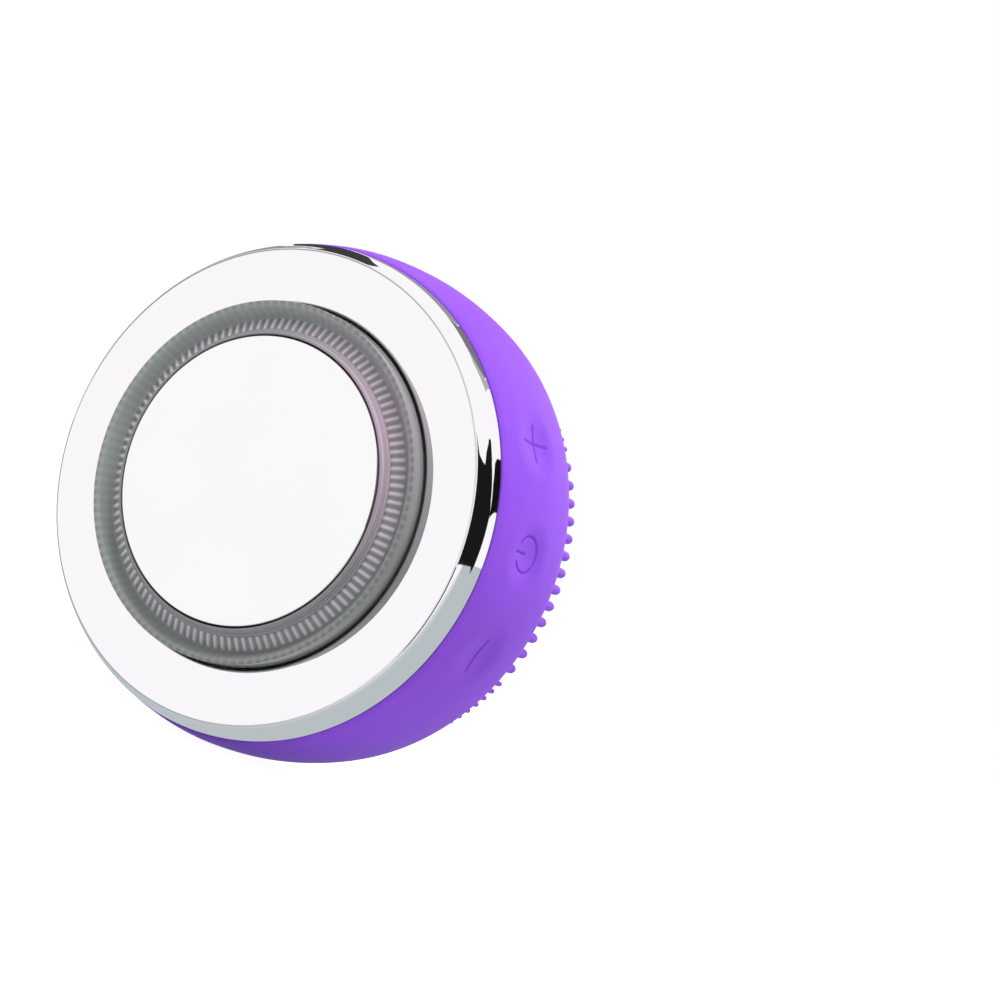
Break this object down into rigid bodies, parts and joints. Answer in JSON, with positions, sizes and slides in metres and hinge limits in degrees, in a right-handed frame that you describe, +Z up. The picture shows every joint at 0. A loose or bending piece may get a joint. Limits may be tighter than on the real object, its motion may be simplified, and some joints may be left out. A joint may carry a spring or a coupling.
{
  "type": "facial cleansing brush",
  "caption": "Round facial cleansing brush: silicone bristle face on one side, massage plate with a ribbed light ring and chrome bezel on the other, membrane buttons on the rim.",
  "frame": {"origin": "middle of the body: on the axis of its two faces, halfway between the massage plate and the tips of the middle bristles", "axes": "+Y along the faces' axis towards the bristles, so the massage plate faces -Y; +X towards the buttons; +Z up, with the brush standing on its rim"},
  "size_m": [0.0828, 0.0436, 0.083],
  "materials": {
    "silicone": "satin moulded silicone",
    "chrome": "mirror plating",
    "steel": "polished steel",
    "clear_plastic": "clear smoky plastic",
    "white_plastic": "moulded plastic",
    "dark_plastic": "moulded plastic",
    "rubber": "matt rubber",
    "circuit_board": "solder mask over glass laminate",
    "heater_film": "polyimide film",
    "battery_foil": "laminate foil pouch",
    "copper": "enamelled wire",
    "brass": "turned brass"
  },
  "bodies": {
    "body": {"massage_plate": "steel", "heating_film": "heater_film", "plate_carrier": "white_plastic", "light_ring": "clear_plastic", "light_board": "circuit_board", "ring_gasket": "rubber", "chrome_bezel": "chrome", "front_housing": "white_plastic", "housing_gasket": "rubber", "rear_housing": "white_plastic", "housing_screw_1": "steel", "housing_screw_2": "steel", "housing_screw_3": "steel", "silicone_sleeve": "silicone", "brush_face": "silicone", "main_board": "circuit_board", "battery": "battery_foil", "battery_pad": "rubber", "ferrite_sheet": "dark_plastic", "charging_coil": "copper", "motor": "steel", "motor_clip": "white_plastic", "plus_switch": "dark_plastic", "power_switch": "dark_plastic", "minus_switch": "dark_plastic"},
    "plus_key": {"plus_button": "silicone", "plus_plunger": "white_plastic"},
    "power_key": {"power_button": "silicone", "power_plunger": "white_plastic"},
    "minus_key": {"minus_button": "silicone", "minus_plunger": "white_plastic"},
    "rotor": {"eccentric_weight": "brass"}
  },
  "joints": [
    {"name": "plus_press", "type": "slide", "parent": "body", "child": "plus_key", "axis": [-0.859, 0, -0.512], "range_m": [0, 0.0005], "stiffness_N_per_m": 800, "springref_m": -0.0003},
    {"name": "power_press", "type": "slide", "parent": "body", "child": "power_key", "axis": [-0.9945, 0, -0.1045], "range_m": [0, 0.0005], "stiffness_N_per_m": 800, "springref_m": -0.0003},
    {"name": "minus_press", "type": "slide", "parent": "body", "child": "minus_key", "axis": [-0.9472, 0, 0.3206], "range_m": [0, 0.0005], "stiffness_N_per_m": 800, "springref_m": -0.0003},
    {"name": "rotor_spin", "type": "hinge", "parent": "body", "child": "rotor", "pos_m": [0.0072, 0.00492, -0.014], "axis": [1, 0, 0], "continuous": true}
  ]
}
